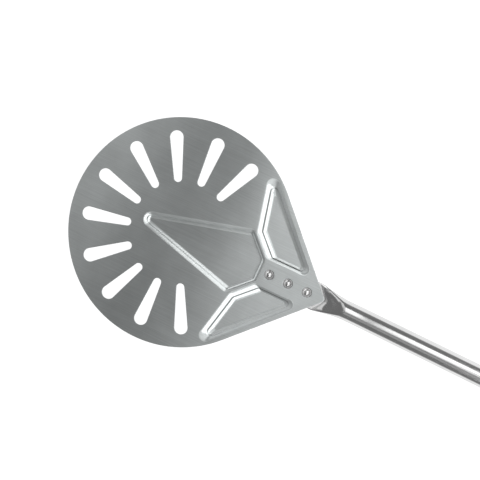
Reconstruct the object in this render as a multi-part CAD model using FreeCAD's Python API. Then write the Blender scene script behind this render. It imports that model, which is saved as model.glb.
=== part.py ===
import FreeCAD, Part
import math
import os

V = FreeCAD.Vector

# Round perforated turning peel: a pressed stainless blade, riveted to the
# flattened front of a round steel tube that carries a sliding grip and an end
# grip.  Frame: origin at the centre of the blade's disc, on the underside of
# its pressed panels; +X runs towards the handle, +Z is the side food lies on.
# All lengths are in millimetres.

# ---- blade -----------------------------------------------------------------
BLADE_R = 115.0          # disc radius
SHEET_T = 1.2            # sheet thickness
PRESS_D = 2.2            # how far the panels are pressed down
TAIL_ANGLE = 46.1        # tail edges against the X axis, degrees
TAIL_TIP_R = 3.5         # rounding of the tail's tip
TOP_Z = PRESS_D + SHEET_T

SLOT_COUNT = 10
SLOT_PITCH = 25.573      # degrees between slots
SLOT_D1, SLOT_R1 = 54.68, 4.03    # inner end: centre distance, radius
SLOT_D2, SLOT_R2 = 95.08, 6.78    # outer end

# kite panel: top loop and bottom loop of its sloping wall
KITE_TOP = [(-63.99, 0.0), (66.44, 34.96), (89.5, 11.9), (89.5, -11.9), (66.44, -34.96)]
KITE_TOP_R = [8.3, 4.0, 5.0, 5.0, 4.0]
KITE_BOT = [(-36.94, 0.0), (66.8, 27.8), (85.0, 9.6), (85.0, -9.6), (66.8, -27.8)]
KITE_BOT_R = [1.4, 1.5, 2.5, 2.5, 1.5]
# side panel on +Y; the other one is its mirror image
SIDE_TOP = [(53.70, 104.71), (70.33, 32.07), (89.2, 13.2), (141.76, 13.2)]
SIDE_TOP_R = [6.8, 7.0, 5.0, 6.0]
SIDE_BOT = [(70.55, 75.66), (78.93, 39.07), (99.0, 19.0), (125.07, 19.0)]
SIDE_BOT_R = [1.2, 1.5, 1.5, 1.2]

# ---- rivets ----------------------------------------------------------------
RIVET_X = {"rivet_front": 98.9, "rivet_middle": 119.4, "rivet_rear": 139.9}
RIVET_R = 2.5
RIVET_HOLE_R = 2.55
RIVET_RIM_R, RIVET_RIM_H = 4.9, 0.75
RIVET_DOME_R, RIVET_DOME_H = 3.6, 2.3
RIVET_FOOT_R, RIVET_FOOT_H = 4.3, 1.5

# ---- handle tube -----------------------------------------------------------
TUBE_R = 10.0
TUBE_WALL = 1.0
TONGUE_FRONT = 91.5      # front end of the flattened tongue
TONGUE_HALF_W = 13.6     # half width between the side panels
TONGUE_T = 2 * TUBE_WALL
TONGUE_Z = PRESS_D - TUBE_WALL        # mid plane of the tongue
BEND_X = 186.1           # where the tongue plane meets the tube axis
SLOPE = 0.13             # rise of the tube axis per unit of X
TUBE_END = 655.0         # rear end, along the axis from the bend
BETA = math.atan(SLOPE)

# ---- sliding grip ----------------------------------------------------------
GRIP_START = 295.0       # front of the sleeve along the axis, at rest
GRIP_LEN = 170.0
BUSH_BORE_R = TUBE_R + 0.08
BUSH_R = 12.5
BUSH_LEN = 14.6
RUN_FIT = 0.08

# ---- end grip --------------------------------------------------------------
END_START = 555.0
END_BORE_R = TUBE_R + 0.05
EYE_S = 682.0            # centre of the hanging eye along the axis
EYE_R = 15.0
EYE_T = 14.0
EYE_HOLE_R = 6.0
PIN_S = 600.0
PIN_R = 2.0

os.makedirs("parts", exist_ok=True)


def export(name, shape):
    if not shape.isValid():
        shape.fix(1e-5, 1e-5, 1e-4)
    print("%-16s valid %s  solids %d  volume %.1f" %
          (name, shape.isValid(), len(shape.Solids), shape.Volume))
    shape.exportStep(os.path.join("parts", name + ".step"))


# ---- helpers ---------------------------------------------------------------
def rounded(points, radii, z):
    """Closed wire through the points with each corner rounded."""
    n = len(points)
    cuts = []
    for i in range(n):
        p = V(points[i][0], points[i][1], z)
        a = V(points[i - 1][0], points[i - 1][1], z)
        b = V(points[(i + 1) % n][0], points[(i + 1) % n][1], z)
        u = (a - p).normalize()
        w = (b - p).normalize()
        half = math.acos(max(-1.0, min(1.0, u.dot(w)))) / 2.0
        r = radii[i]
        t = r / math.tan(half)
        bis = (u + w).normalize()
        mid = p + bis * (r / math.sin(half) - r)
        cuts.append((p + u * t, mid, p + w * t))
    edges = []
    for i in range(n):
        s, m, e = cuts[i]
        edges.append(Part.Arc(s, m, e).toShape())
        edges.append(Part.LineSegment(e, cuts[(i + 1) % n][0]).toShape())
    return Part.Wire(edges)


def mirrored(points):
    return [(x, -y) for x, y in points]


def axis_point(s, n=0.0, y=0.0):
    """Point at distance s along the tube axis, n above it, y to the side."""
    return V(BEND_X + s * math.cos(BETA) - n * math.sin(BETA), y,
             TONGUE_Z + s * math.sin(BETA) + n * math.cos(BETA))


AXIS = V(math.cos(BETA), 0, math.sin(BETA))
NORMAL = V(-math.sin(BETA), 0, math.cos(BETA))


def revolved(profile, spline=None):
    """Solid of revolution about the tube axis.  profile is a closed list of
    (s, r); spline names a run of its points that is one smooth curve."""
    edges = []
    i = 0
    n = len(profile)
    while i < n:
        if spline and i == spline[0]:
            pts = [axis_point(s, r) for s, r in profile[spline[0]:spline[1] + 1]]
            curve = Part.BSplineCurve()
            curve.interpolate(pts)
            edges.append(curve.toShape())
            i = spline[1]
        else:
            a = axis_point(*profile[i])
            b = axis_point(*profile[(i + 1) % n])
            edges.append(Part.LineSegment(a, b).toShape())
            i += 1
    face = Part.Face(Part.Wire(edges))
    return face.revolve(axis_point(0), AXIS, 360)


# ---- blade -----------------------------------------------------------------
tan_a = math.radians(90.0 - TAIL_ANGLE)
apex = BLADE_R / math.sin(math.radians(TAIL_ANGLE))


def blade_outline(z):
    p1 = V(BLADE_R * math.cos(tan_a), BLADE_R * math.sin(tan_a), z)
    p2 = V(p1.x, -p1.y, z)
    half = math.radians(TAIL_ANGLE)
    t = TAIL_TIP_R / math.tan(half)
    q1 = V(apex - t * math.cos(half), t * math.sin(half), z)
    q2 = V(q1.x, -q1.y, z)
    qm = V(apex - (TAIL_TIP_R / math.sin(half) - TAIL_TIP_R), 0, z)
    return Part.Wire([
        Part.Arc(p1, V(-BLADE_R, 0, z), p2).toShape(),
        Part.LineSegment(p2, q2).toShape(),
        Part.Arc(q2, qm, q1).toShape(),
        Part.LineSegment(q1, p1).toShape()])


def slot(angle):
    """Tapered slot: two circles and their outer tangents."""
    u = V(math.cos(angle), math.sin(angle), 0)
    v = V(-math.sin(angle), math.cos(angle), 0)
    c = (SLOT_R1 - SLOT_R2) / (SLOT_D2 - SLOT_D1)
    s = math.sqrt(1 - c * c)
    base = V(0, 0, PRESS_D - 1)
    c1, c2 = base + u * SLOT_D1, base + u * SLOT_D2
    a1, b1 = c1 + (u * c + v * s) * SLOT_R1, c1 + (u * c - v * s) * SLOT_R1
    a2, b2 = c2 + (u * c + v * s) * SLOT_R2, c2 + (u * c - v * s) * SLOT_R2
    wire = Part.Wire([
        Part.Arc(a1, c1 - u * SLOT_R1, b1).toShape(),
        Part.LineSegment(b1, b2).toShape(),
        Part.Arc(b2, c2 + u * SLOT_R2, a2).toShape(),
        Part.LineSegment(a2, a1).toShape()])
    return Part.Face(wire).extrude(V(0, 0, SHEET_T + 2))


def pressing(top, top_r, bot, bot_r, shift):
    """Volume between the top loop and the bottom loop of a pressed panel."""
    return Part.makeLoft([rounded(top, top_r, TOP_Z - shift),
                          rounded(bot, bot_r, TOP_Z - PRESS_D - shift)], True, True)


sheet = Part.Face(blade_outline(PRESS_D)).extrude(V(0, 0, SHEET_T))
panels = [(KITE_TOP, KITE_TOP_R, KITE_BOT, KITE_BOT_R),
          (SIDE_TOP, SIDE_TOP_R, SIDE_BOT, SIDE_BOT_R),
          (mirrored(SIDE_TOP), SIDE_TOP_R, mirrored(SIDE_BOT), SIDE_BOT_R)]
blade = sheet.fuse([pressing(*p, SHEET_T) for p in panels])
blade = blade.cut([pressing(*p, 0.0) for p in panels])
first = math.pi - math.radians(SLOT_PITCH) * (SLOT_COUNT - 1) / 2.0
blade = blade.cut([slot(first + math.radians(SLOT_PITCH) * k) for k in range(SLOT_COUNT)])
blade = blade.cut([Part.makeCylinder(RIVET_HOLE_R, 10, V(x, 0, -3)) for x in RIVET_X.values()])
blade = blade.removeSplitter()
export("blade", blade)


# ---- rivets: flanged dome above, shank, low formed head below the tongue ----
def rivet(x):
    z0 = TOP_Z
    zb = PRESS_D - TONGUE_T
    rs = (RIVET_DOME_R ** 2 + (RIVET_DOME_H - RIVET_RIM_H) ** 2) / (2 * (RIVET_DOME_H - RIVET_RIM_H))
    cz = z0 + RIVET_DOME_H - rs
    am = math.asin(RIVET_DOME_R / rs) / 2
    fs = (RIVET_FOOT_R ** 2 + RIVET_FOOT_H ** 2) / (2 * RIVET_FOOT_H)
    fz = zb - RIVET_FOOT_H + fs
    fm = math.asin(RIVET_FOOT_R / fs) / 2
    top = V(x, 0, z0 + RIVET_DOME_H)
    dome = V(x + RIVET_DOME_R, 0, z0 + RIVET_RIM_H)
    foot = V(x + RIVET_FOOT_R, 0, zb)
    low = V(x, 0, zb - RIVET_FOOT_H)
    edges = [
        Part.Arc(top, V(x + rs * math.sin(am), 0, cz + rs * math.cos(am)), dome).toShape(),
        Part.LineSegment(dome, V(x + RIVET_RIM_R - 0.25, 0, z0 + RIVET_RIM_H)).toShape(),
        Part.LineSegment(V(x + RIVET_RIM_R - 0.25, 0, z0 + RIVET_RIM_H), V(x + RIVET_RIM_R, 0, z0 + 0.35)).toShape(),
        Part.LineSegment(V(x + RIVET_RIM_R, 0, z0 + 0.35), V(x + RIVET_RIM_R, 0, z0)).toShape(),
        Part.LineSegment(V(x + RIVET_RIM_R, 0, z0), V(x + RIVET_R, 0, z0)).toShape(),
        Part.LineSegment(V(x + RIVET_R, 0, z0), V(x + RIVET_R, 0, zb)).toShape(),
        Part.LineSegment(V(x + RIVET_R, 0, zb), foot).toShape(),
        Part.Arc(foot, V(x + fs * math.sin(fm), 0, fz - fs * math.cos(fm)), low).toShape(),
        Part.LineSegment(low, top).toShape()]
    return Part.Face(Part.Wire(edges)).revolve(V(x, 0, 0), V(0, 0, 1), 360)


for name, x in RIVET_X.items():
    export(name, rivet(x))


# ---- handle tube -----------------------------------------------------------
# The tongue is the tube pressed flat.  Behind the tail's tip it opens out again:
# the walls rise from two straight creases that follow the tail's edges, and meet
# the round crown further back.
def lerp_table(table, x):
    if x <= table[0][0]:
        return table[0][1]
    for (x0, y0), (x1, y1) in zip(table, table[1:]):
        if x <= x1:
            t = (x - x0) / (x1 - x0)
            return y0 + (y1 - y0) * t
    return table[-1][1]


HALF_W = [(91, TONGUE_HALF_W), (139, TONGUE_HALF_W), (144, 14.0), (149, 14.35), (152, 14.15),
          (155, 13.6), (158, 13.0), (161, 12.45), (164, 11.9), (167, 11.4), (170, 10.95),
          (173, 10.6), (176, 10.35), (180, 10.12), (185, 10.0)]
HALF_H = [(91, 1.0), (145, 1.0), (149, 1.35), (152, 2.7), (155, 4.2), (158, 5.5), (161, 6.7),
          (164, 7.6), (167, 8.35), (170, 8.95), (173, 9.4), (176, 9.7), (180, 9.92), (185, 10.0)]
CREASE_X = 160.2         # where the two creases meet on the axis
CREASE_SLOPE = 0.69


def centre(x):
    """Height and slope of the tube's centre line."""
    a = BEND_X - 20.0
    if x <= a:
        return TONGUE_Z, 0.0
    if x >= a + 40.0:
        return TONGUE_Z + SLOPE * (x - BEND_X), SLOPE
    return TONGUE_Z + SLOPE * (x - a) ** 2 / 80.0, SLOPE * (x - a) / 40.0


def soft_min(a, b, k):
    h = max(k - abs(a - b), 0.0) / k
    return min(a, b) - h * h * k * 0.25


def section(x, inset=0.0, count=60):
    """Closed list of (y, n) around the tube's section at x, n measured from the
    centre line; inset moves it inwards by the wall."""
    a = lerp_table(HALF_W, x)
    b = lerp_table(HALF_H, x)
    if x >= 185:
        r = TUBE_R - inset
        return [(r * math.cos(2 * math.pi * k / count), r * math.sin(2 * math.pi * k / count))
                for k in range(count)]
    p = 2.0 + 18.0 * math.exp(-(b - 1.0) / 1.2)
    ca = math.radians(90.0 - TAIL_ANGLE)
    dense = []
    m = 720
    for i in range(m):
        t = 2 * math.pi * i / m
        c, s = math.cos(t), math.sin(t)
        # blend of a sampling even in y with one even in angle
        y = a * math.copysign(abs(c) ** (2.0 / p), c)
        if abs(s) > 0.7071 and p > 3:
            y = a * c / 0.7071 * (0.7071 ** (2.0 / p))
        h = b * math.sqrt(max(0.0, 1.0 - abs(y / a) ** p))
        d = math.cos(ca) * (x - CREASE_X) + math.sin(ca) * abs(y)
        d = 0.5 * (d + math.sqrt(d * d + 0.6))
        crease = TUBE_WALL - 0.18 + CREASE_SLOPE * d
        if b > 1.05:
            h = soft_min(h, crease, 1.2)
        h = max(h, 0.0)
        dense.append((y, math.copysign(h, s) if abs(s) > 1e-9 else 0.0))
    if inset > 0:
        moved = []
        for i in range(m):
            y0, n0 = dense[i - 1]
            y1, n1 = dense[(i + 1) % m]
            ty, tn = y1 - y0, n1 - n0
            ln = math.hypot(ty, tn) or 1.0
            moved.append((dense[i][0] - inset * tn / ln, dense[i][1] + inset * ty / ln))
        dense = moved
    total = [0.0]
    for i in range(m):
        y0, n0 = dense[i]
        y1, n1 = dense[(i + 1) % m]
        total.append(total[-1] + math.hypot(y1 - y0, n1 - n0))
    out = []
    j = 0
    for k in range(count):
        goal = total[-1] * k / count
        while total[j + 1] < goal:
            j += 1
        t = (goal - total[j]) / max(total[j + 1] - total[j], 1e-12)
        y0, n0 = dense[j]
        y1, n1 = dense[(j + 1) % m]
        out.append((y0 + (y1 - y0) * t, n0 + (n1 - n0) * t))
    return out


def section_wire(x, points):
    z, sl = centre(x)
    bt = math.atan(sl)
    pts = [V(x - n * math.sin(bt), y, z + n * math.cos(bt)) for y, n in points]
    curve = Part.BSplineCurve()
    curve.interpolate(Points=pts, PeriodicFlag=True)
    return Part.Wire([curve.toShape()])


JOIN_X = BEND_X + 20.0
END_X = BEND_X + TUBE_END * math.cos(BETA)
flat = section(120)
stations = [TONGUE_FRONT, 139, 142, 144.5, 146, 147.5, 149, 150.5, 152, 153.5, 155, 157, 159, 161, 163,
            165, 167, 169, 171, 173, 175, 177, 179, 182, 186, 190, 194, 198, 202, JOIN_X, END_X]
inner_stations = [163, 165, 167, 169, 171, 173, 175, 177, 179, 182, 186, 190, 194, 198, 202,
                  JOIN_X, END_X + 5.0]
outer = Part.makeLoft([section_wire(x, flat if x <= 139 else section(x)) for x in stations], True, True)
inner = Part.makeLoft([section_wire(x, section(x, TUBE_WALL)) for x in inner_stations], True, True)
corner = 5.0
tongue_tip = Part.makeBox(corner, 2 * TONGUE_HALF_W + 0.2, 20, V(TONGUE_FRONT, -TONGUE_HALF_W - 0.1, -10))
front = [e for e in tongue_tip.Edges if abs(e.tangentAt(e.FirstParameter).z) > 0.99
         and abs(e.CenterOfMass.x - TONGUE_FRONT) < 1e-6]
off = Part.makeBox(corner, 60, 20, V(TONGUE_FRONT, -30, -10)).cut(tongue_tip.makeFillet(corner - 0.01, front))
tube = outer.cut([inner, off] + [Part.makeCylinder(RIVET_HOLE_R, 10, V(x, 0, -5)) for x in RIVET_X.values()]
                 + [Part.makeCylinder(PIN_R + 0.05, 40, axis_point(PIN_S, 0, -20), V(0, 1, 0))])
export("handle_tube", tube)


# ---- sliding grip ----------------------------------------------------------
g0, g1 = GRIP_START, GRIP_START + GRIP_LEN
cb = BUSH_R + RUN_FIT
groove = 13.0
outer = [(g0, 15.2), (g0 + 2.0, 16.6), (g0 + 5.5, 17.0), (g0 + 12, 15.6), (g0 + 24, 14.1),
         (g0 + 50, 14.2), (g0 + 85, 14.6), (g1 - 50, 14.2), (g1 - 24, 14.1), (g1 - 12, 15.6),
         (g1 - 5.5, 17.0), (g1 - 2.0, 16.6), (g1, 15.2)]
profile = list(outer)
profile += [(g1, cb), (g1 - 6.0, cb), (g1 - 6.0, groove), (g1 - 8.0, groove), (g1 - 8.0, cb),
            (g1 - 15.0, cb), (g1 - 15.0, 10.6), (g0 + 15.0, 10.6), (g0 + 15.0, cb),
            (g0 + 8.0, cb), (g0 + 8.0, groove), (g0 + 6.0, groove), (g0 + 6.0, cb), (g0, cb)]
export("grip_sleeve", revolved(profile, (0, len(outer) - 1)))


def bush(end, sign):
    """Slide bush in the sleeve's mouth; sign points into the sleeve."""
    pts = [(-1.8, BUSH_BORE_R + 0.5), (-1.3, BUSH_BORE_R), (BUSH_LEN, BUSH_BORE_R), (BUSH_LEN, BUSH_R - 0.5),
           (BUSH_LEN - 0.8, BUSH_R), (7.8, BUSH_R), (7.6, 12.88), (6.4, 12.88), (6.2, BUSH_R),
           (-0.2, BUSH_R), (-0.2, 13.9), (-1.4, 13.9), (-1.8, 13.5)]
    return revolved([(end + sign * s, r) for s, r in pts])


export("front_slide_bush", bush(g0, 1))
export("rear_slide_bush", bush(g1, -1))

# ---- end grip --------------------------------------------------------------
e0 = END_START
outer = [(e0, 12.6), (e0 + 2.5, 15.0), (e0 + 7, 15.8), (e0 + 15, 14.9), (e0 + 28, 14.0), (e0 + 60, 14.6),
         (e0 + 90, 15.0), (e0 + 108, 14.6), (e0 + 120, 13.6)]
profile = outer + [(e0 + 120, 0.0), (TUBE_END + 1.0, 0.0), (TUBE_END + 1.0, END_BORE_R), (e0, END_BORE_R)]
body = revolved(profile, (0, len(outer) - 1))
eye = Part.makeCylinder(EYE_R, EYE_T, axis_point(EYE_S, -EYE_T / 2), NORMAL)
eye = eye.makeFillet(3.0, [e for e in eye.Edges if e.Curve.TypeId == "Part::GeomCircle"])
end_grip = body.fuse(eye)
end_grip = end_grip.cut(Part.makeCylinder(EYE_HOLE_R, 60, axis_point(EYE_S, -30), NORMAL))
end_grip = end_grip.cut(Part.makeCylinder(PIN_R + 0.03, 60, axis_point(PIN_S, 0, -30), V(0, 1, 0)))
seat = [Part.makeCylinder(3.8, 10, axis_point(PIN_S, 0, 13.0), V(0, 1, 0)),
        Part.makeCylinder(3.8, 10, axis_point(PIN_S, 0, -13.0), V(0, -1, 0))]
end_grip = end_grip.cut(seat)
export("end_grip", end_grip.removeSplitter())

pin = Part.makeCylinder(PIN_R, 26.0, axis_point(PIN_S, 0, -13.0), V(0, 1, 0))
for side in (1, -1):
    c = axis_point(PIN_S, 0, side * 13.0)
    head = Part.makeCylinder(3.5, 1.3, c, V(0, side, 0))
    rim = [e for e in head.Edges if e.Curve.TypeId == "Part::GeomCircle" and abs(e.CenterOfMass.y - c.y) > 1.0]
    head = head.makeFillet(0.9, rim)
    pin = pin.fuse(head)
export("end_grip_pin", pin.removeSplitter())
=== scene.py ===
import bpy
import bmesh
import math
import random
import numpy as np
from mathutils import Matrix, Vector
from mathutils.geometry import delaunay_2d_cdt


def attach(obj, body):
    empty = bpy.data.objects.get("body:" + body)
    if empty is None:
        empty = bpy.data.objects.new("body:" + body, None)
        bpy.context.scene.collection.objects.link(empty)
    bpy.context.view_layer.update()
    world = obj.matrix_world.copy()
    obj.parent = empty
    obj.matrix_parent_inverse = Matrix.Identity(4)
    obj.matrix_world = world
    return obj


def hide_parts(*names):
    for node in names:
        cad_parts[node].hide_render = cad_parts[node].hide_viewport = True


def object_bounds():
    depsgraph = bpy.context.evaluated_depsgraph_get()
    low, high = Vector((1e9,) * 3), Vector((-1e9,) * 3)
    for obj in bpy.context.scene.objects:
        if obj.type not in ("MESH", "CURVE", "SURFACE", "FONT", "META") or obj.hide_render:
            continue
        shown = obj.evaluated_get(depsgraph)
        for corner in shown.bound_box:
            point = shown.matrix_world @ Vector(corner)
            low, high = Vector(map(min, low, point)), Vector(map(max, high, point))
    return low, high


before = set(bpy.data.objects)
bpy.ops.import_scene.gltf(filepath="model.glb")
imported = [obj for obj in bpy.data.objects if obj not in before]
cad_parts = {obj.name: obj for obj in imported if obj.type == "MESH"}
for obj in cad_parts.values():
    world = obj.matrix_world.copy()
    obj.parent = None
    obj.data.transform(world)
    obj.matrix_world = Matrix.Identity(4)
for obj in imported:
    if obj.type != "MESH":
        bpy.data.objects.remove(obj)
cad_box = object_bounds()
random.seed(7)
MM = 0.001

# ---------------------------------------------------------------- dimensions
TOP_Z = 3.4              # top face of the sheet, mm
SHEET_T = 1.2
PRESS_D = 2.2
BLADE_R = 115.0
TAIL_ANGLE = math.radians(46.1)
TIP_R = 3.5
BEND_X, TONGUE_Z, SLOPE = 186.1, 1.2, 0.13
BETA = math.atan(SLOPE)
CB, SB = math.cos(BETA), math.sin(BETA)
TUBE_R, WALL, TUBE_END = 10.0, 1.0, 655.0
RIVETS = (98.9, 119.4, 139.9)


def link(obj):
    bpy.context.scene.collection.objects.link(obj)
    return obj


def mesh_object(name, verts, faces, smooth_angle=40.0):
    me = bpy.data.meshes.new(name)
    me.from_pydata([tuple(v) for v in verts], [], [tuple(f) for f in faces])
    me.validate()
    bm = bmesh.new()
    bm.from_mesh(me)
    bmesh.ops.recalc_face_normals(bm, faces=bm.faces)
    bm.to_mesh(me)
    bm.free()
    me.shade_smooth()
    me.set_sharp_from_angle(angle=math.radians(smooth_angle))
    me.update()
    return link(bpy.data.objects.new(name, me))


def axis_point(s, n=0.0, y=0.0):
    """Point (mm) at distance s along the tube axis from the bend, n above it."""
    return (BEND_X + s * CB - n * SB, y, TONGUE_Z + s * SB + n * CB)


# ------------------------------------------------------------------- curves
def rounded_loop(points, radii, per_arc, per_edge):
    """Samples of a polygon with rounded corners: for each corner its arc, then
    the edge that follows, with the same counts for any radii."""
    pts = [np.array(p, float) for p in points]
    n = len(pts)
    cuts = []
    for i in range(n):
        p, a, b = pts[i], pts[i - 1], pts[(i + 1) % n]
        u = (a - p) / np.linalg.norm(a - p)
        w = (b - p) / np.linalg.norm(b - p)
        half = math.acos(float(np.clip(u @ w, -1, 1))) / 2
        r = radii[i]
        t = r / math.tan(half)
        bis = (u + w) / np.linalg.norm(u + w)
        c = p + bis * (r / math.sin(half))
        s0, s1 = p + u * t, p + w * t
        a0 = math.atan2(*(s0 - c)[::-1])
        a1 = math.atan2(*(s1 - c)[::-1])
        d = (a1 - a0 + math.pi) % (2 * math.pi) - math.pi
        arc = [c + r * np.array([math.cos(a0 + d * k / per_arc[i]), math.sin(a0 + d * k / per_arc[i])])
               for k in range(per_arc[i])]
        cuts.append((arc, s1, s0))
    out = []
    for i in range(n):
        arc, s1, _ = cuts[i]
        out += arc
        nxt = cuts[(i + 1) % n][2]
        m = per_edge[i]
        out += [s1 + (nxt - s1) * k / m for k in range(m)]
    return np.array(out)


def resample(loop, step):
    """The closed loop with extra points so that no span is longer than step."""
    out = []
    n = len(loop)
    for i in range(n):
        a, b = loop[i], loop[(i + 1) % n]
        m = max(1, int(math.ceil(np.linalg.norm(b - a) / step)))
        out += [a + (b - a) * k / m for k in range(m)]
    return np.array(out)


def offset_loop(loop, d):
    """Moves a closed loop along its left normals by d."""
    nx = np.roll(loop, -1, 0) - np.roll(loop, 1, 0)
    nx /= np.linalg.norm(nx, axis=1)[:, None]
    return loop + np.stack([-nx[:, 1], nx[:, 0]], 1) * d


# ------------------------------------------------------------ blade outline
ca = math.pi / 2 - TAIL_ANGLE
apex = BLADE_R / math.sin(TAIL_ANGLE)


def outline():
    """Blade's edge, counter-clockwise."""
    pts = []
    n = 330
    for k in range(n + 1):
        a = ca + (2 * math.pi - 2 * ca) * k / n
        pts.append((BLADE_R * math.cos(a), BLADE_R * math.sin(a)))
    t = TIP_R / math.tan(TAIL_ANGLE)
    q2 = np.array([apex - t * math.cos(TAIL_ANGLE), -t * math.sin(TAIL_ANGLE)])
    p2 = np.array(pts[-1])
    for k in range(1, 70):
        pts.append(tuple(p2 + (q2 - p2) * k / 70))
    cx = apex - TIP_R / math.sin(TAIL_ANGLE)
    for k in range(0, 15):
        a = -ca + 2 * ca * k / 14
        pts.append((cx + TIP_R * math.cos(a), TIP_R * math.sin(a)))
    q1 = np.array([q2[0], -q2[1]])
    p1 = np.array(pts[0])
    for k in range(1, 70):
        pts.append(tuple(q1 + (p1 - q1) * k / 70))
    return np.array(pts)


def slot_loop(angle):
    """Tapered slot, counter-clockwise."""
    d1, r1, d2, r2 = 54.68, 4.03, 95.08, 6.78
    u = np.array([math.cos(angle), math.sin(angle)])
    v = np.array([-u[1], u[0]])
    c = (r1 - r2) / (d2 - d1)
    tilt = math.acos(c)
    pts = []
    for k in range(22):
        a = -tilt + 2 * tilt * k / 21
        pts.append(u * d2 + r2 * (u * math.cos(a) + v * math.sin(a)))
    e0 = pts[-1]
    e1 = u * d1 + r1 * (u * math.cos(tilt) + v * math.sin(tilt))
    for k in range(1, 22):
        pts.append(e0 + (e1 - e0) * k / 22)
    for k in range(16):
        a = tilt + (2 * math.pi - 2 * tilt) * k / 15
        pts.append(u * d1 + r1 * (u * math.cos(a) + v * math.sin(a)))
    e0 = pts[-1]
    for k in range(1, 22):
        pts.append(e0 + (pts[0] - e0) * k / 22)
    return np.array(pts)


def circle_loop(cx, r, n=40):
    return np.array([(cx + r * math.cos(2 * math.pi * k / n), r * math.sin(2 * math.pi * k / n)) for k in range(n)])


# ------------------------------------------------------------- press panels
KITE = dict(top=[(-63.99, 0.0), (66.44, 34.96), (89.5, 11.9), (89.5, -11.9), (66.44, -34.96)],
            top_r=[8.3, 4.0, 5.0, 5.0, 4.0],
            bot=[(-36.94, 0.0), (66.8, 27.8), (85.0, 9.6), (85.0, -9.6), (66.8, -27.8)],
            bot_r=[1.4, 1.5, 2.5, 2.5, 1.5], arcs=[22, 12, 10, 10, 12], edges=[110, 30, 22, 30, 110])
SIDE = dict(top=[(53.70, 104.71), (70.33, 32.07), (89.2, 13.2), (141.76, 13.2)],
            top_r=[6.8, 7.0, 5.0, 6.0],
            bot=[(70.55, 75.66), (78.93, 39.07), (99.0, 19.0), (125.07, 19.0)],
            bot_r=[1.2, 1.5, 1.5, 1.2], arcs=[20, 12, 12, 20], edges=[60, 26, 36, 110])


# slope of a pressed wall from its top edge (0) to its foot (1): a wide soft
# shoulder, a short steep part and a tight foot
WALL_SLOPE = [(0.0, 0.0), (0.10, 0.50), (0.22, 0.80), (0.40, 0.95), (0.47, 1.5), (0.52, 2.6), (0.58, 2.6),
              (0.64, 1.4), (0.72, 0.95), (0.86, 0.65), (1.0, 0.0)]
ROW_T = [0.0, 0.03, 0.07, 0.11, 0.16, 0.22, 0.28, 0.34, 0.40, 0.44, 0.47, 0.49, 0.51, 0.53, 0.55, 0.57, 0.59, 0.61, 0.64,
         0.68, 0.72, 0.76, 0.80, 0.84, 0.88, 0.92, 0.95, 0.98, 1.0]


def wall_drop(t):
    """Share of the full depth reached at t across a wall."""
    xs = np.linspace(0, 1, 801)
    sl = np.interp(xs, [k[0] for k in WALL_SLOPE], [k[1] for k in WALL_SLOPE])
    cum = np.concatenate([[0], np.cumsum((sl[1:] + sl[:-1]) / 2)])
    return float(np.interp(t, xs, cum / cum[-1]))


def panel_points(panel, sign):
    flip = np.array([1.0, sign])
    top = rounded_loop(panel["top"], panel["top_r"], panel["arcs"], panel["edges"]) * flip
    bot = rounded_loop(panel["bot"], panel["bot_r"], panel["arcs"], panel["edges"]) * flip
    rows = []
    for t in ROW_T:
        rows.append(top + (bot - top) * t)
    return rows


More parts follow.
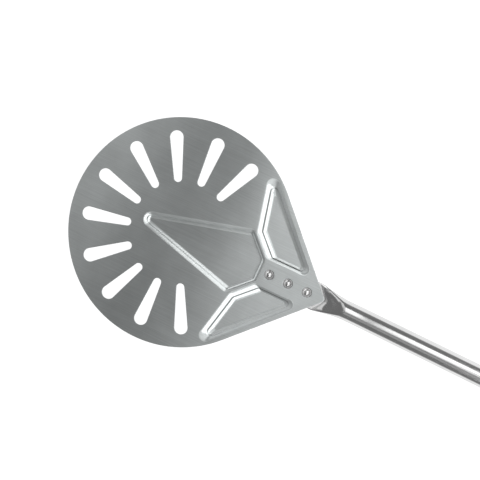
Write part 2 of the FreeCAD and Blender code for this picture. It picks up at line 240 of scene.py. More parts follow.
def build_blade():
    pts, zs = [], []
    edges, faces_quads = [], []

    def add(p, z):
        pts.append((float(p[0]), float(p[1])))
        zs.append(z)
        return len(pts) - 1

    def add_loop(loop, z, constrain=True):
        first = len(pts)
        for p in loop:
            add(p, z)
        n = len(loop)
        if constrain:
            for i in range(n):
                edges.append((first + i, first + (i + 1) % n))
        return list(range(first, first + n))

    BEV = 0.15
    rim_loops = []
    out = outline()
    slots = [slot_loop(math.pi - math.radians(25.573) * 4.5 + math.radians(25.573) * k) for k in range(10)]
    holes = [circle_loop(x, 2.55) for x in RIVETS]
    ids = add_loop(offset_loop(out, BEV), 0.0)
    rim_loops.append((ids, out, 1))
    # a second row close to every rim keeps the sheet flat right up to its edge
    add_loop(offset_loop(out, BEV + 0.25), 0.0)
    for lp in slots:
        add_loop(offset_loop(lp, -BEV - 0.25), 0.0)
    for lp in slots + holes:
        ids = add_loop(offset_loop(lp, -BEV), 0.0)
        rim_loops.append((ids, lp, -1))
    # wall strips
    walls, wall_rows = [], []
    for panel, sign in ((KITE, 1), (SIDE, 1), (SIDE, -1)):
        rows = panel_points(panel, sign)
        for t, row in zip(ROW_T, rows):
            wall_rows.append((panel is SIDE, t, add_loop(row, -PRESS_D * wall_drop(t), constrain=True)))
        walls.append((rows[0], rows[-1]))

    def inside(poly, q):
        """Which of the points q lie in the convex loop poly."""
        a = poly
        b = np.roll(poly, -1, 0)
        e = b - a
        cr = e[None, :, 0] * (q[:, None, 1] - a[None, :, 1]) - e[None, :, 1] * (q[:, None, 0] - a[None, :, 0])
        return np.all(cr > 0, 1) | np.all(cr < 0, 1)

    # filler grid
    g = np.array([(x + (1.6 if (j % 2) else 0), y) for j, y in enumerate(np.arange(-112.8, 113, 3.2))
                  for x in np.arange(-113.6, 160, 3.2)])
    all_loops = [np.array([pts[i] for i in ids]) for ids, _, _ in rim_loops]
    sample = np.concatenate(all_loops + [w[0] for w in walls] + [w[1] for w in walls])
    from mathutils.kdtree import KDTree
    kd = KDTree(len(sample))
    for i, p in enumerate(sample):
        kd.insert((p[0], p[1], 0), i)
    kd.balance()
    near = np.array([kd.find((p[0], p[1], 0))[2] for p in g])
    r = np.hypot(g[:, 0], g[:, 1])
    in_tail = (g[:, 0] > 0) & ((g[:, 0] * math.cos(ca) + np.abs(g[:, 1]) * math.sin(ca)) < BLADE_R - 1.5)
    keep = ((r < BLADE_R - 1.5) | in_tail & (g[:, 0] > 80)) & (near > 1.7)
    g = g[keep]
    depth = np.zeros(len(g))
    ok = np.ones(len(g), bool)
    for (top, bot) in walls:
        it, ib = inside(top, g), inside(bot, g)
        ok &= ~(it & ~ib)
        depth[ib] = -PRESS_D
    for p, z, k in zip(g, depth, ok):
        if k:
            add(p, float(z))

    res = delaunay_2d_cdt([Vector(p) for p in pts], edges, [], 0, 1e-6, True)
    vco, _, tris, vorig = res[0], res[1], res[2], res[3]
    vz = np.zeros(len(vco))
    pos = np.array([(v.x, v.y) for v in vco])
    known = np.array([len(o) > 0 for o in vorig])
    for i, o in enumerate(vorig):
        if len(o):
            vz[i] = zs[o[0]]
    # keep triangles in the sheet
    tri = np.array([t for t in tris if len(t) == 3])
    cen = pos[tri].mean(1)

    def in_poly(poly, q):
        x, y = q[:, 0], q[:, 1]
        c = np.zeros(len(q), bool)
        a = poly
        b = np.roll(poly, -1, 0)
        for (x0, y0), (x1, y1) in zip(a, b):
            hit = ((y0 > y) != (y1 > y))
            if y1 != y0:
                c ^= hit & (x < (x1 - x0) * (y - y0) / (y1 - y0) + x0)
        return c

    keep = in_poly(all_loops[0], cen)
    for lp in all_loops[1:]:
        box = (np.abs(cen - lp.mean(0)) < 40).all(1)
        idx = np.where(keep & box)[0]
        keep[idx[in_poly(lp, cen[idx])]] = False
    tri = tri[keep]
    used = np.unique(tri)
    remap = -np.ones(len(pos), int)
    remap[used] = np.arange(len(used))
    tri = remap[tri]
    pos, vz = pos[used], vz[used]
    back = {}
    for i, o in enumerate(vorig):
        if remap[i] >= 0:
            for k in o:
                back[k] = remap[i]

    # very shallow unevenness of pressed sheet, well under 0.1 mm
    x, y = pos[:, 0], pos[:, 1]
    n = len(pos)
    wave = sheet_wave(x, y, vz)
    top = np.stack([x, y, TOP_Z + vz + wave], 1)
    low = top - np.array([0, 0, SHEET_T])
    verts = np.concatenate([top, low])
    faces = [tuple(t) for t in tri] + [(t[0] + n, t[2] + n, t[1] + n) for t in tri]
    verts = list(map(tuple, verts))
    for ids, loop, sgn in rim_loops:
        m = len(ids)
        tops = [back[i] for i in ids]
        cols = []
        for i in range(m):
            px, py = loop[i]
            zt = verts[tops[i]][2]
            a = len(verts)
            ix, iy = verts[tops[i]][0], verts[tops[i]][1]
            mx, my = ix + (px - ix) * 0.72, iy + (py - iy) * 0.72
            verts.append((mx, my, zt - 0.04))
            verts.append((px, py, zt - 0.15))
            verts.append((px, py, zt - SHEET_T + 0.15))
            verts.append((mx, my, zt - SHEET_T + 0.04))
            cols.append((tops[i], a, a + 1, a + 2, a + 3, tops[i] + n))
        for i in range(m):
            c, d = cols[i], cols[(i + 1) % m]
            for k in range(5):
                faces.append((c[k], d[k], d[k + 1], c[k + 1]))
    obj = mesh_object("blade_pressed", np.array(verts) * MM, faces, 50)
    # painted light: the pressed walls' colour is raised as a painted highlight, and along the steep middle of the side
    # panels' walls a painted shade line darkens it, fading out near the blade's edge
    painted_light = np.full(len(verts), 0.5)
    for side, t, ids in wall_rows:
        for i in ids:
            v = 0.5 if t <= 0.001 or t >= 0.999 else 0.70
            if side and 0.49 < t < 0.61:
                edge = BLADE_R - pos[back[i], 0] * math.cos(ca) - abs(pos[back[i], 1]) * math.sin(ca)
                v = 0.50 - 0.28 * min(1.0, max(0.0, (edge - 12.0) / 5.0))
            painted_light[back[i]] = v
            painted_light[back[i] + n] = v
    att = obj.data.attributes.new("wall_light_shade", "FLOAT", "POINT")
    att.data.foreach_set("value", painted_light[:len(obj.data.vertices)])
    return obj


def sheet_wave(x, y, vz):
    r = np.hypot(x, y)
    w = 0.05 * np.sin(x / 37.0 + 0.7) * np.cos(y / 41.0 - 0.4)
    fade = np.clip((BLADE_R - r) / 20.0, 0, 1)
    return w * 0.8


# --------------------------------------------------------------- materials
def new_mat(name):
    m = bpy.data.materials.new(name)
    m.use_nodes = True
    nt = m.node_tree
    for n in list(nt.nodes):
        nt.nodes.remove(n)
    out = nt.nodes.new("ShaderNodeOutputMaterial")
    bsdf = nt.nodes.new("ShaderNodeBsdfPrincipled")
    nt.links.new(bsdf.outputs[0], out.inputs[0])
    return m, nt, bsdf


def N(nt, kind, **props):
    n = nt.nodes.new(kind)
    ins = props.pop("ins", {})
    for k, v in props.items():
        setattr(n, k, v)
    for k, v in ins.items():
        n.inputs[k].default_value = v
    return n


def ramp(nt, stops, src):
    n = nt.nodes.new("ShaderNodeValToRGB")
    cr = n.color_ramp
    while len(cr.elements) > 2:
        cr.elements.remove(cr.elements[-1])
    cr.elements[0].position, cr.elements[0].color = stops[0][0], stops[0][1]
    cr.elements[1].position, cr.elements[1].color = stops[-1][0], stops[-1][1]
    for p, c in stops[1:-1]:
        e = cr.elements.new(p)
        e.color = c
    nt.links.new(src, n.inputs[0])
    return n


def grey(v, t=(1.0, 1.0, 1.0)):
    return (v * t[0], v * t[1], v * t[2], 1.0)


def brushed_steel(name, base=0.56, rough=(0.27, 0.33), aniso=1.0, bump=0.12, tint=(0.955, 1.0, 0.998), sx=14.0, sy=1150.0):
    """Brushed sheet: the grain runs along X."""
    m, nt, b = new_mat(name)
    L = nt.links.new
    tc = N(nt, "ShaderNodeTexCoord")
    mp = N(nt, "ShaderNodeMapping", ins={"Scale": (sx, sy, sy)})
    L(tc.outputs["Object"], mp.inputs["Vector"])
    n1 = N(nt, "ShaderNodeTexNoise", ins={"Scale": 1.0, "Detail": 5.0, "Roughness": 0.62})
    L(mp.outputs[0], n1.inputs["Vector"])
    mp2 = N(nt, "ShaderNodeMapping", ins={"Scale": (22.0, 2600.0, 2600.0)})
    L(tc.outputs["Object"], mp2.inputs["Vector"])
    n2 = N(nt, "ShaderNodeTexNoise", ins={"Scale": 1.0, "Detail": 3.0, "Roughness": 0.6})
    L(mp2.outputs[0], n2.inputs["Vector"])
    n3 = N(nt, "ShaderNodeTexNoise", ins={"Scale": 26.0, "Detail": 4.0, "Roughness": 0.55})
    L(tc.outputs["Object"], n3.inputs["Vector"])
    mix = N(nt, "ShaderNodeMath", operation="MULTIPLY_ADD", ins={1: 0.6})
    L(n1.outputs[0], mix.inputs[0])
    sc = N(nt, "ShaderNodeMath", operation="MULTIPLY", ins={1: 0.4})
    L(n2.outputs[0], sc.inputs[0])
    L(sc.outputs[0], mix.inputs[2])
    col = ramp(nt, [(0.30, grey(base * 0.86, tint)), (0.5, grey(base, tint)), (0.72, grey(base * 1.14, tint))], mix.outputs[0])
    cloud = ramp(nt, [(0.35, grey(0.94)), (0.65, grey(1.05))], n3.outputs[0])
    mul = N(nt, "ShaderNodeMix", data_type="RGBA", blend_type="MULTIPLY", ins={0: 1.0})
    L(col.outputs[0], mul.inputs[6])
    L(cloud.outputs[0], mul.inputs[7])
    # painted light: a per-vertex attribute scales the base colour, brighter on the pressed walls as a painted
    # highlight and darker in a painted shade line on the side panels' walls
    at = N(nt, "ShaderNodeAttribute", attribute_name="wall_light_shade")
    painted_light = ramp(nt, [(0.0, grey(0.0)), (1.0, grey(2.0))], at.outputs["Fac"])
    mul2 = N(nt, "ShaderNodeMix", data_type="RGBA", blend_type="MULTIPLY", ins={0: 1.0})
    L(mul.outputs[2], mul2.inputs[6])
    L(painted_light.outputs[0], mul2.inputs[7])
    L(mul2.outputs[2], b.inputs["Base Color"])
    rr = N(nt, "ShaderNodeMapRange", ins={1: 0.3, 2: 0.7, 3: rough[0], 4: rough[1]})
    L(mix.outputs[0], rr.inputs[0])
    L(rr.outputs[0], b.inputs["Roughness"])
    bp = N(nt, "ShaderNodeBump", ins={"Strength": bump, "Distance": 0.00002})
    L(mix.outputs[0], bp.inputs["Height"])
    L(bp.outputs[0], b.inputs["Normal"])
    tg = N(nt, "ShaderNodeTangent", direction_type="UV_MAP", uv_map="grain")
    L(tg.outputs[0], b.inputs["Tangent"])
    b.inputs["Metallic"].default_value = 1.0
    b.inputs["Anisotropic"].default_value = aniso
    return m


def polished_steel(name, base=0.70, rough=(0.055, 0.12), bump=0.03, painted_shade=False):
    m, nt, b = new_mat(name)
    L = nt.links.new
    tc = N(nt, "ShaderNodeTexCoord")
    mp = N(nt, "ShaderNodeMapping", ins={"Scale": (9.0, 900.0, 900.0)})
    L(tc.outputs["Object"], mp.inputs["Vector"])
    n1 = N(nt, "ShaderNodeTexNoise", ins={"Scale": 1.0, "Detail": 4.0, "Roughness": 0.6})
    L(mp.outputs[0], n1.inputs["Vector"])
    n2 = N(nt, "ShaderNodeTexNoise", ins={"Scale": 60.0, "Detail": 3.0, "Roughness": 0.5})
    L(tc.outputs["Object"], n2.inputs["Vector"])
    rr = N(nt, "ShaderNodeMapRange", ins={1: 0.3, 2: 0.7, 3: rough[0], 4: rough[1]})
    L(n1.outputs[0], rr.inputs[0])
    L(rr.outputs[0], b.inputs["Roughness"])
    col = ramp(nt, [(0.3, grey(base * 0.95)), (0.7, grey(base * 1.04))], n2.outputs[0])
    if painted_shade:
        # painted shade: a per-vertex attribute darkens the base colour in the rivet's groove and round its rim
        at = N(nt, "ShaderNodeAttribute", attribute_name="unshaded")
        shade_ramp = ramp(nt, [(0.0, (0.05, 0.048, 0.045, 1.0)), (1.0, grey(1.0))], at.outputs["Fac"])
        mul = N(nt, "ShaderNodeMix", data_type="RGBA", blend_type="MULTIPLY", ins={0: 1.0})
        L(col.outputs[0], mul.inputs[6])
        L(shade_ramp.outputs[0], mul.inputs[7])
        L(mul.outputs[2], b.inputs["Base Color"])
    else:
        L(col.outputs[0], b.inputs["Base Color"])
    bp = N(nt, "ShaderNodeBump", ins={"Strength": bump, "Distance": 0.00002})
    L(n1.outputs[0], bp.inputs["Height"])
    L(bp.outputs[0], b.inputs["Normal"])
    b.inputs["Metallic"].default_value = 1.0
    return m


def polymer(name, base=(0.028, 0.029, 0.032), rough=(0.42, 0.58), stipple=1800.0, bump=0.35, spec=0.5):
    m, nt, b = new_mat(name)
    L = nt.links.new
    tc = N(nt, "ShaderNodeTexCoord")
    vo = N(nt, "ShaderNodeTexVoronoi", feature="SMOOTH_F1", ins={"Scale": stipple, "Smoothness": 0.6})
    L(tc.outputs["Object"], vo.inputs["Vector"])
    n2 = N(nt, "ShaderNodeTexNoise", ins={"Scale": 90.0, "Detail": 4.0, "Roughness": 0.55})
    L(tc.outputs["Object"], n2.inputs["Vector"])
    rr = N(nt, "ShaderNodeMapRange", ins={1: 0.3, 2: 0.7, 3: rough[0], 4: rough[1]})
    L(n2.outputs[0], rr.inputs[0])
    L(rr.outputs[0], b.inputs["Roughness"])
    lo = tuple(c * 0.86 for c in base) + (1,)
    hi = tuple(c * 1.25 for c in base) + (1,)
    col = ramp(nt, [(0.3, lo), (0.7, hi)], n2.outputs[0])
    L(col.outputs[0], b.inputs["Base Color"])
    bp = N(nt, "ShaderNodeBump", ins={"Strength": bump, "Distance": 0.00006})
    L(vo.outputs["Distance"], bp.inputs["Height"])
    L(bp.outputs[0], b.inputs["Normal"])
    b.inputs["Specular IOR Level"].default_value = spec
    return m


def uv_across_grain(obj, scale=1.0):
    """UV map whose U runs across the grain, the way its reflections spread."""
    me = obj.data
    uv = me.uv_layers.new(name="grain")
    co = np.zeros(len(me.vertices) * 3)
    me.vertices.foreach_get("co", co)
    co = co.reshape(-1, 3)
    li = np.zeros(len(me.loops), int)
    me.loops.foreach_get("vertex_index", li)
    p = co[li]
    uv.data.foreach_set("uv", np.stack([p[:, 1] * scale, p[:, 0] * scale + p[:, 2] * 0.37], 1).ravel())


# ------------------------------------------------------------ lathe and tube
def lathe(name, profile, origin, axis, segs=72, closed=True, smooth=35):
    """Revolves (s, r) mm about an axis through origin (mm)."""
    ax = Vector(axis).normalized()
    ref = Vector((0, 1, 0)) if abs(ax.y) < 0.9 else Vector((1, 0, 0))
    u = ax.cross(ref).normalized()
    v = ax.cross(u)
    verts, faces = [], []
    o = Vector(origin)
    n = len(profile)
    index = []
    for s, r in profile:
        if r < 1e-6:
            index.append([len(verts)] * segs)
            verts.append(o + ax * s)
        else:
            row = []
            for k in range(segs):
                a = 2 * math.pi * k / segs
                row.append(len(verts))
                verts.append(o + ax * s + (u * math.cos(a) + v * math.sin(a)) * r)
            index.append(row)
    last = n if closed else n - 1
    for i in range(last):
        a, b = index[i], index[(i + 1) % n]
        for k in range(segs):
            l = (k + 1) % segs
            q = [a[k], a[l], b[l], b[k]]
            q = [x for j, x in enumerate(q) if x not in q[:j]]
            if len(q) > 2:
                faces.append(q)
    return mesh_object(name, [tuple(p * MM) for p in verts], faces, smooth)


def arc_pts(cx, cy, r, a0, a1, n):
    return [(cx + r * math.cos(math.radians(a0 + (a1 - a0) * k / n)), cy + r * math.sin(math.radians(a0 + (a1 - a0) * k / n)))
            for k in range(n + 1)]


def smooth_table(table, x):
    """Catmull-Rom style interpolation of a table."""
    xs = np.array([t[0] for t in table], float)
    ys = np.array([t[1] for t in table], float)
    if x <= xs[0]:
        return float(ys[0])
    if x >= xs[-1]:
        return float(ys[-1])
    d = np.gradient(ys, xs)
    i = int(np.searchsorted(xs, x) - 1)
    h = xs[i + 1] - xs[i]
    t = (x - xs[i]) / h
    return float((2 * t ** 3 - 3 * t ** 2 + 1) * ys[i] + (t ** 3 - 2 * t ** 2 + t) * h * d[i]
                 + (-2 * t ** 3 + 3 * t ** 2) * ys[i + 1] + (t ** 3 - t ** 2) * h * d[i + 1])


HALF_W = [(91, 13.6), (136, 13.6), (140, 13.7), (144, 14.0), (149, 14.3), (152, 14.12),
          (155, 13.6), (158, 13.0), (161, 12.45), (164, 11.9), (167, 11.4), (170, 10.95),
          (173, 10.6), (176, 10.35), (180, 10.12), (185, 10.0), (195, 10.0)]
HALF_H = [(91, 1.0), (141, 1.0), (145, 1.02), (149, 1.35), (152, 2.7), (155, 4.2), (158, 5.5), (161, 6.7),
          (164, 7.6), (167, 8.35), (170, 8.95), (173, 9.4), (176, 9.7), (180, 9.92), (185, 10.0), (195, 10.0)]
CREASE_X, CREASE_M = 160.2, 0.69


def centre(x):
    a = BEND_X - 20.0
    if x <= a:
        return TONGUE_Z, 0.0
    if x >= a + 40.0:
        return TONGUE_Z + SLOPE * (x - BEND_X), SLOPE
    return TONGUE_Z + SLOPE * (x - a) ** 2 / 80.0, SLOPE * (x - a) / 40.0


def section(x, count=144, inset=0.0):
    a, b = smooth_table(HALF_W, x), smooth_table(HALF_H, x)
    if x >= 187:
        r = TUBE_R - inset
        t = 2 * np.pi * np.arange(count) / count
        return np.stack([r * np.cos(t), r * np.sin(t)], 1)
    p = 2.0 + 18.0 * math.exp(-(b - 1.0) / 1.2)
    m = 2880
    t = 2 * np.pi * np.arange(m) / m
    c, s = np.cos(t), np.sin(t)
    y = a * np.sign(c) * np.abs(c) ** (2.0 / p)
    if p > 3:
        flatp = np.abs(s) > 0.7071
        y = np.where(flatp, a * c / 0.7071 * (0.7071 ** (2.0 / p)), y)
    h = b * np.sqrt(np.clip(1.0 - np.abs(y / a) ** p, 0, None))
    # the two walls fall in towards the blade between two rounded crests
    ay = np.sqrt(y * y + 30.0) - 4.0
    d = math.cos(ca) * (x - CREASE_X) + math.sin(ca) * ay
    d = 0.5 * (d + np.sqrt(d * d + 4.0))
    e = np.clip((d - 0.6) / 16.0, 0, 1)
    crease = WALL - 0.28 + 10.5 * (0.45 * e + 0.55 * e * e * (3 - 2 * e)) + 0.5 * np.clip(d - 15.0, 0, None)
    if b > 1.0:
        k = 6.0 * min(1.0, (b - 1.0) / 5.5) * min(1.0, (187.0 - x) / 14.0) + 1e-3
        hh = np.clip(k - np.abs(h - crease), 0, None) / k
        h = np.minimum(h, crease) - hh * hh * k * 0.25
    h = np.clip(h, 0, None)
    pts = np.stack([y, np.sign(s) * h], 1)
    if inset > 0:
        tan = np.roll(pts, -1, 0) - np.roll(pts, 1, 0)
        tan /= np.maximum(np.linalg.norm(tan, axis=1), 1e-9)[:, None]
        pts = pts + np.stack([-tan[:, 1], tan[:, 0]], 1) * inset
    seg = np.linalg.norm(np.roll(pts, -1, 0) - pts, axis=1)
    cum = np.concatenate([[0], np.cumsum(seg)])
    goal = cum[-1] * np.arange(count) / count
    ext = np.concatenate([pts, pts[:1]])
    return np.stack([np.interp(goal, cum, ext[:, 0]), np.interp(goal, cum, ext[:, 1])], 1)


def build_tube():
    count = 144
    xs = [91.5, 91.9, 93, 95, 97, 105, 115, 125, 133, 138, 140, 141.5, 143, 144.5, 146]
    xs += list(np.arange(147, 188, 0.75)) + [190, 193, 197, 202, 206.1, 207.5, 260, 340, 420, 500, 580, 660, 740, 800, 833,
                                             BEND_X + TUBE_END * CB - 0.6, BEND_X + TUBE_END * CB]
    verts, faces = [], []
    for i, x in enumerate(xs):
        sec = section(x, count)
        z, sl = centre(x)
        bt = math.atan(sl)
        if x < 97:
            f = 1.0 - 0.0
            q = (97 - x) / 5.5
            lim = 13.6 - 5.0 * (1 - math.sqrt(max(0.0, 1 - q * q)))
            sec = sec.copy()
            sec[:, 0] = np.clip(sec[:, 0], -lim, lim)
        if i == 0:
            sec[:, 1] *= 0.8
        if i == len(xs) - 1:
            sec = sec * (9.75 / 10.0)
        for y, n in sec:
            verts.append((x - n * math.sin(bt), y, z + n * math.cos(bt)))
    rings = len(xs)
    for i in range(rings - 1):
        for k in range(count):
            l = (k + 1) % count
            faces.append((i * count + k, i * count + l, (i + 1) * count + l, (i + 1) * count + k))
    faces.append(tuple(range(count - 1, -1, -1)))
    # inner wall, open at the rear end
    ins = [166.0] + list(np.arange(167, 188, 2.0)) + [190, 200, 206.1, 340, 500, 660, 800, BEND_X + TUBE_END * CB]
    base = len(verts)
    for x in ins:
        sec = section(x, count, WALL)
        z, sl = centre(x)
        bt = math.atan(sl)
        for y, n in sec:
            verts.append((x - n * math.sin(bt), y, z + n * math.cos(bt)))
    m = len(ins)
    for i in range(m - 1):
        for k in range(count):
            l = (k + 1) % count
            faces.append((base + i * count + k, base + (i + 1) * count + k, base + (i + 1) * count + l, base + i * count + l))
    faces.append(tuple(base + k for k in range(count)))
    a, b = (rings - 1) * count, base + (m - 1) * count
    for k in range(count):
        l = (k + 1) % count
        faces.append((a + k, a + l, b + l, b + k))
    return mesh_object("handle_tube_bent", np.array(verts) * MM, faces, 50)


# ------------------------------------------------------------------- rivets
def build_rivet(name, x):
    z0, zb = TOP_Z, 0.2
    prof = [(z0 + 2.3, 0.0)]
    rs = (3.6 ** 2 + 1.65 ** 2) / (2 * 1.65)
    for k in range(1, 15):
        a = math.asin(3.5 / rs) * k / 14
        prof.append((z0 + 2.3 - rs + rs * math.cos(a), rs * math.sin(a)))
    prof += [(z0 + 0.52, 3.62), (z0 + 0.40, 3.70), (z0 + 0.38, 3.78), (z0 + 0.48, 3.90), (z0 + 0.62, 4.02),
             (z0 + 0.70, 4.14), (z0 + 0.71, 4.24), (z0 + 0.66, 4.34), (z0 + 0.52, 4.50), (z0 + 0.34, 4.68),
             (z0 + 0.18, 4.82), (z0 + 0.06, 4.89), (z0 + 0.0, 4.88), (z0, 2.5), (zb, 2.5), (zb, 4.2), (zb - 0.12, 4.3)]
    fs = (4.3 ** 2 + 1.38 ** 2) / (2 * 1.38)
    for k in range(9, -1, -1):
        a = math.asin(4.25 / fs) * k / 10
        prof.append((zb - 1.5 + fs - fs * math.cos(a), fs * math.sin(a)))
    obj = lathe(name, prof, (x, 0, 0), (0, 0, 1), 72, closed=False, smooth=60)
    # painted shade: the rivet's colour is darkened in the groove and round the rim, standing in for contact shadow and
    # dark reflections; 1 means no painted shade
    me = obj.data
    att = me.attributes.new("unshaded", "FLOAT", "POINT")
    vals = []
    for v in me.vertices:
        r = math.hypot(v.co.x / MM - x, v.co.y / MM)
        c = 1.0
        c = min(c, 0.16 + abs(r - 3.72) / 0.16) if r > 3.3 else c
        if r > 4.40:
            c = min(c, max(0.10, 1.0 - (r - 4.40) / 0.22))
        vals.append(min(1.0, c))
    att.data.foreach_set("value", vals)
    return obj


# --------------------------------------------------------------------- grips
def spline_profile(ctrl, n):
    c = np.array(ctrl, float)
    s = np.linspace(c[0, 0], c[-1, 0], n)
    out = []
    d = np.gradient(c[:, 1], c[:, 0])
    for v in s:
        i = min(int(np.searchsorted(c[:, 0], v, side="right") - 1), len(c) - 2)
        h = c[i + 1, 0] - c[i, 0]
        t = (v - c[i, 0]) / h
        r = ((2 * t ** 3 - 3 * t ** 2 + 1) * c[i, 1] + (t ** 3 - 2 * t ** 2 + t) * h * d[i]
             + (-2 * t ** 3 + 3 * t ** 2) * c[i + 1, 1] + (t ** 3 - t ** 2) * h * d[i + 1])
        out.append((float(v), float(r)))
    return out


G0, GL = 295.0, 170.0


def build_sleeve():
    ctrl = [(0.6, 15.6), (2.0, 16.5), (5.5, 16.9), (12, 15.6), (24, 14.1), (50, 14.2), (85, 14.55),
            (120, 14.2), (146, 14.1), (158, 15.6), (164.5, 16.9), (168, 16.5), (169.4, 15.6)]
    prof = spline_profile(ctrl, 420)
    grooves = [30 + 5.5 * k for k in range(4)] + [140 - 5.5 * k for k in range(4)]
    out = []
    for s, r in prof:
        for g in grooves:
            q = abs(s - g)
            if q < 1.3:
                r -= 0.55 * (0.5 + 0.5 * math.cos(math.pi * q / 1.3))
        out.append((s, r))
    prof = [(0.0, 14.9)] + out + [(170.0, 14.9)]
    prof += [(170, 12.9), (169.6, 12.58), (164, 12.58), (164, 13.0), (162, 13.0), (162, 12.58), (155, 12.58), (155, 10.6),
             (15, 10.6), (15, 12.58), (8, 12.58), (8, 13.0), (6, 13.0), (6, 12.58), (0.4, 12.58), (0, 12.9)]
    obj = lathe("grip_sleeve_moulded", prof, axis_point(G0), (CB, 0, SB), 128, True, 40)
    # shallow flats between the grooves, and the mould's parting line
    me = obj.data
    o = Vector(axis_point(G0)) * MM
    ax = Vector((CB, 0, SB))
    up = Vector((-SB, 0, CB))
    side = Vector((0, 1, 0))
    for v in me.vertices:
        d = v.co - o
        s = d.dot(ax) / MM
        y, n = d.dot(side), d.dot(up)
        r = math.hypot(y, n) / MM
        if r > 13.3 and 1 < s < 169:
            th = math.atan2(n, y)
            k = 0.0
            near = min(abs(th), abs(abs(th) - math.pi))
            if near < 0.03:
                k += 0.12 * (1 - near / 0.03)
            if 54 < s < 116:
                e = min(1.0, (s - 54) / 6.0, (116 - s) / 6.0)
                k -= 0.38 * max(0.0, e) * (0.5 - 0.5 * math.cos(12 * th)) ** 2
            f = (r + k) / r
            v.co = o + ax * (s * MM) + (side * y + up * n) * f
    return obj


def build_bush(name, end, sign):
    pts = [(-1.8, 10.58), (-1.3, 10.08), (14.6, 10.08), (14.6, 12.0), (13.8, 12.5), (7.8, 12.5), (7.6, 12.88), (6.4, 12.88),
           (6.2, 12.5), (-0.2, 12.5), (-0.2, 13.75), (-0.35, 13.9), (-1.2, 13.9), (-1.5, 13.8), (-1.72, 13.6), (-1.8, 13.3)]
    ax = (CB, 0, SB)
    prof = [(sign * s, r) for s, r in pts]
    return lathe(name, prof, axis_point(end), ax, 96, True, 30)


def build_end_grip():
    """Lofted grip whose round body runs out into a flat rounded eye."""
    E0 = 555.0
    ctrl = [(0.5, 13.6), (2.5, 15.0), (7, 15.75), (15, 14.9), (28, 14.0), (60, 14.5), (84, 14.8), (95, 14.8)]
    prof = spline_profile(ctrl, 150)
    prof = [(0.0, 12.8)] + prof
    tail = []
    for k in range(1, 61):
        s = 95 + 47 * k / 60.0
        tail.append(s)
    segs = 128
    rows = []
    for s, r in prof:
        for g in (24, 29.5, 35, 40.5):
            q = abs(s - g)
            if q < 1.3:
                r -= 0.55 * (0.5 + 0.5 * math.cos(math.pi * q / 1.3))
        rows.append((s, r, r, 2.0))
    for s in tail:
        t = (s - 95) / 47.0
        e = min(1.0, (s - 95) / 24.0)
        e = e * e * (3 - 2 * e)
        hw = 14.8 + (14.85 - 14.8) * e
        hh = 14.8 + (6.9 - 14.8) * e
        p = 2.0 + 1.6 * e
        q = (s - 127.0) / 15.0
        if q > 0:
            q = min(q, 0.9995)
            hw *= math.sqrt(1 - q * q)
            edge = min(1.0, (142.0 - s) / 3.0)
            hh = 4.0 + (hh - 4.0) * math.sqrt(max(0.0, 1 - (1 - edge) ** 2))
        rows.append((s, hw, hh, p))
    verts, faces = [], []
    for s, hw, hh, p in rows:
        for k in range(segs):
            a = 2 * math.pi * k / segs
            c, d = math.cos(a), math.sin(a)
            y = hw * math.copysign(abs(c) ** (2 / p), c)
            n = hh * math.copysign(abs(d) ** (2 / p), d)
            verts.append(axis_point(E0 + s, n, y))
    R = len(rows)
    for i in range(R - 1):
        for k in range(segs):
            l = (k + 1) % segs
            faces.append((i * segs + k, i * segs + l, (i + 1) * segs + l, (i + 1) * segs + k))
    faces.append(tuple((R - 1) * segs + k for k in range(segs)))
    # blind socket
    base = len(verts)
    sock = [(0.0, 10.55), (0.5, 10.05), (101, 10.05)]
    for s, r in sock:
        for k in range(segs):
            a = 2 * math.pi * k / segs
            verts.append(axis_point(E0 + s, r * math.sin(a), r * math.cos(a)))
    for i in range(2):
        for k in range(segs):
            l = (k + 1) % segs
            faces.append((base + i * segs + k, base + (i + 1) * segs + k, base + (i + 1) * segs + l, base + i * segs + l))
    faces.append(tuple(base + 2 * segs + k for k in range(segs - 1, -1, -1)))
    for k in range(segs):
        l = (k + 1) % segs
        faces.append((k, base + k, base + l, l))
    obj = mesh_object("end_grip_moulded", np.array(verts) * MM, faces, 45)
    # rounded hanging hole and pin seats
    def cut(cutter):
        md = obj.modifiers.new("cut", "BOOLEAN")
        md.object = cutter
        md.operation = "DIFFERENCE"
        md.solver = "EXACT"
        dg = bpy.context.evaluated_depsgraph_get()
        me = bpy.data.meshes.new_from_object(obj.evaluated_get(dg))
        obj.modifiers.clear()
        obj.data = me
        bpy.data.objects.remove(cutter)

    hole = [(-20, 0.0), (-20, 12.2), (-7.3, 9.4)]
    for k in range(0, 13):
        a = math.radians(180 + 0) - 0
        ang = math.radians(75 * (1 - k / 12.0))
        hole.append((-4.3 - 3.0 * math.sin(ang), 9.0 - 3.0 * math.cos(ang)))
    mirror = [(-s, r) for s, r in reversed(hole)]
    hole = hole + mirror
    cutter = lathe("hole_cutter", hole, axis_point(682.0), (-SB, 0, CB), 96, False, 60)
    cut(cutter)
    for sg in (1, -1):
        cutter = lathe("seat_cutter", [(13.0, 0.0), (13.0, 3.8), (20, 3.95), (20, 0.0)], axis_point(600.0, 0, 0), (0, sg, 0), 48, False, 40)
        cut(cutter)
    me = obj.data
    me.shade_smooth()
    me.set_sharp_from_angle(angle=math.radians(38))
    return obj


def build_pin():
    prof = [(-14.28, 0.0), (-14.24, 1.2), (-14.1, 2.2), (-13.85, 3.0), (-13.5, 3.4), (-13.2, 3.5), (-13.0, 3.45), (-13.0, 2.0)]
    prof = prof + [(-s, r) for s, r in reversed(prof)]
    return lathe("end_grip_pin_turned", prof, axis_point(600.0), (0, 1, 0), 48, False, 50)


# -------------------------------------------------------------------- build
blade = build_blade()
uv_across_grain(blade)
tube = build_tube()
rivets = [build_rivet("rivet_%s_set" % nm, x) for nm, x in zip(("front", "middle", "rear"), RIVETS)]
sleeve = build_sleeve()
bush_f = build_bush("front_slide_bush_turned", G0, 1)
bush_r = build_bush("rear_slide_bush_turned", G0 + GL, -1)
end_grip = build_end_grip()
pin = build_pin()

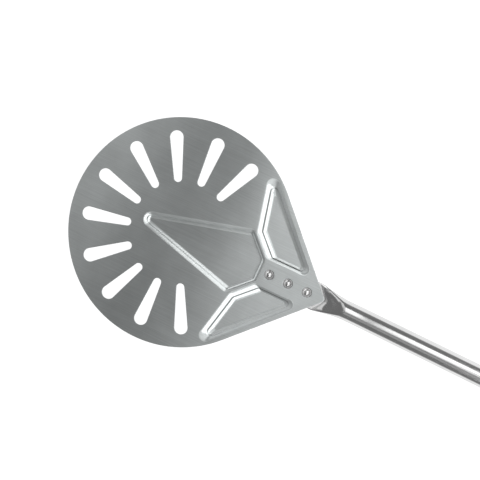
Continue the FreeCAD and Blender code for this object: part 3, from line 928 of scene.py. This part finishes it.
steel = brushed_steel("blade_brushed")
tube_mat = polished_steel("tube_polished", base=0.68, rough=(0.12, 0.18))
rivet_mat = polished_steel("rivet_polished", base=0.62, rough=(0.10, 0.17), painted_shade=True)
pin_mat = polished_steel("pin_polished", base=0.66, rough=(0.10, 0.17))
grip_mat = polymer("grip_polymer")
bush_mat = polymer("bush_polymer", base=(0.50, 0.50, 0.48), rough=(0.34, 0.46), stipple=900.0, bump=0.06)

for obj, mat, body, node, slot in (
        (blade, steel, "peel", "blade", "blade_steel"),
        (tube, tube_mat, "peel", "handle_tube", "tube_steel"),
        (rivets[0], rivet_mat, "peel", "rivet_front", "rivet_steel"),
        (rivets[1], rivet_mat, "peel", "rivet_middle", "rivet_steel"),
        (rivets[2], rivet_mat, "peel", "rivet_rear", "rivet_steel"),
        (end_grip, grip_mat, "peel", "end_grip", "grip_polymer"),
        (pin, pin_mat, "peel", "end_grip_pin", "rivet_steel"),
        (bush_f, bush_mat, "slide_bushes", "front_slide_bush", "bush_polymer"),
        (bush_r, bush_mat, "slide_bushes", "rear_slide_bush", "bush_polymer"),
        (sleeve, grip_mat, "sliding_grip", "grip_sleeve", "grip_polymer")):
    obj.data.materials.clear()
    obj.data.materials.append(mat)
    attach(obj, body)
    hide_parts(node)

# -------------------------------------------------------------------- stage
floor_z = cad_box[0][2] if not hasattr(cad_box[0], "z") else cad_box[0].z
floor_me = bpy.data.meshes.new("floor")
fs = 3.5
floor_me.from_pydata([(-fs, -fs, floor_z), (fs, -fs, floor_z), (fs, fs, floor_z), (-fs, fs, floor_z)], [], [(0, 1, 2, 3)])
floor = link(bpy.data.objects.new("floor", floor_me))
fm, fnt, fb = new_mat("floor_white")
fb.inputs["Base Color"].default_value = (0.25, 0.25, 0.25, 1)
fb.inputs["Roughness"].default_value = 0.9
fb.inputs["Specular IOR Level"].default_value = 0.1
fb.inputs["Emission Color"].default_value = (1, 1, 1, 1)
fb.inputs["Emission Strength"].default_value = 0.93
floor_me.materials.append(fm)

# --------------------------------------------------------------------- light
world = bpy.data.worlds.new("studio")
bpy.context.scene.world = world
world.use_nodes = True
wn = world.node_tree
for n in list(wn.nodes):
    wn.nodes.remove(n)
wo = wn.nodes.new("ShaderNodeOutputWorld")
bg = wn.nodes.new("ShaderNodeBackground")
tc = wn.nodes.new("ShaderNodeTexCoord")
sp = wn.nodes.new("ShaderNodeSeparateXYZ")
wn.links.new(tc.outputs["Generated"], sp.inputs[0])
wr = ramp(wn, [(0.0, grey(0.62)), (0.04, grey(0.50)), (0.12, grey(0.26)), (0.5, grey(0.19)), (1.0, grey(0.19))], sp.outputs["Z"])
wn.links.new(wr.outputs[0], bg.inputs[0])
bg.inputs[1].default_value = 1.0
wn.links.new(bg.outputs[0], wo.inputs[0])

BOOM = 1.3               # height of the overhead lights, m


def softbox(name, x0, x1, y0, y1, radiance, z=BOOM):
    """Overhead rectangular softbox that faces straight down."""
    li = bpy.data.lights.new(name, "AREA")
    li.shape = "RECTANGLE"
    li.size, li.size_y = x1 - x0, y1 - y0
    li.energy = radiance * math.pi * (x1 - x0) * (y1 - y0)
    ob = link(bpy.data.objects.new(name, li))
    ob.location = ((x0 + x1) / 2, (y0 + y1) / 2, z)
    return ob


def side_panel(name, azimuth, distance, width, z0, z1, radiance):
    """Upright softbox that faces the object from azimuth (degrees from +X)."""
    li = bpy.data.lights.new(name, "AREA")
    li.shape = "RECTANGLE"
    li.size, li.size_y = width, z1 - z0
    li.energy = radiance * math.pi * width * (z1 - z0)
    ob = link(bpy.data.objects.new(name, li))
    a = math.radians(azimuth)
    out = Vector((math.cos(a), math.sin(a), 0))
    x = Vector((-math.sin(a), math.cos(a), 0))
    ob.matrix_world = (Matrix.Translation((out.x * distance, out.y * distance, (z0 + z1) / 2))
                       @ Matrix((x, out.cross(x), out)).transposed().to_4x4())
    return ob


softbox("softbox_side", 0.21, 0.72, -2.0, 2.0, 1.75)
softbox("softbox_side_far", 0.72, 2.0, -2.0, 2.0, 0.85)
softbox("softbox_top", -0.09, 0.21, 0.22, 1.0, 1.70)
softbox("softbox_top_near", -0.09, 0.12, 0.0, 0.22, 1.35)
softbox("softbox_top_edge", -0.09, 0.19, -0.20, 0.0, 0.90)
softbox("softbox_top_left", -0.22, -0.09, -0.40, 0.80, 0.28)
softbox("softbox_front", -0.20, 0.12, -1.10, -0.42, 0.20)
softbox("softbox_fill", -0.36, -0.22, -0.10, 1.0, 0.36)
softbox("softbox_left", -0.85, -0.36, -0.05, 1.6, 0.72)
softbox("softbox_left_low", -0.85, -0.36, -0.45, -0.05, 0.25)
side_panel("panel_left_back", 145.0, 2.1, 1.7, 0.05, 1.15, 1.5)
side_panel("panel_left", 185.0, 2.1, 1.3, 0.05, 1.15, 0.7)
side_panel("panel_left_front", 214.0, 2.1, 1.3, 0.05, 1.15, 0.55)

# -------------------------------------------------------------------- camera
cam_data = bpy.data.cameras.new("camera")
cam_data.sensor_width = 36.0
cam_data.sensor_fit = "HORIZONTAL"
cam_data.lens = 87.19
cam_data.clip_end = 50
cam = link(bpy.data.objects.new("camera", cam_data))
right = Vector((0.8997, 0.4098, -0.1506)).normalized()
fwd = Vector((-0.1169, -0.1062, -0.9874)).normalized()
right = (right - fwd * right.dot(fwd)).normalized()
up = right.cross(fwd)
cam.matrix_world = (Matrix.Translation((0.19269, 0.14120, 1.13567 + 0.0034))
                    @ Matrix((right, up, -fwd)).transposed().to_4x4())
bpy.context.scene.camera = cam

scene = bpy.context.scene
scene.view_settings.view_transform = "Standard"
scene.view_settings.exposure = 0.0
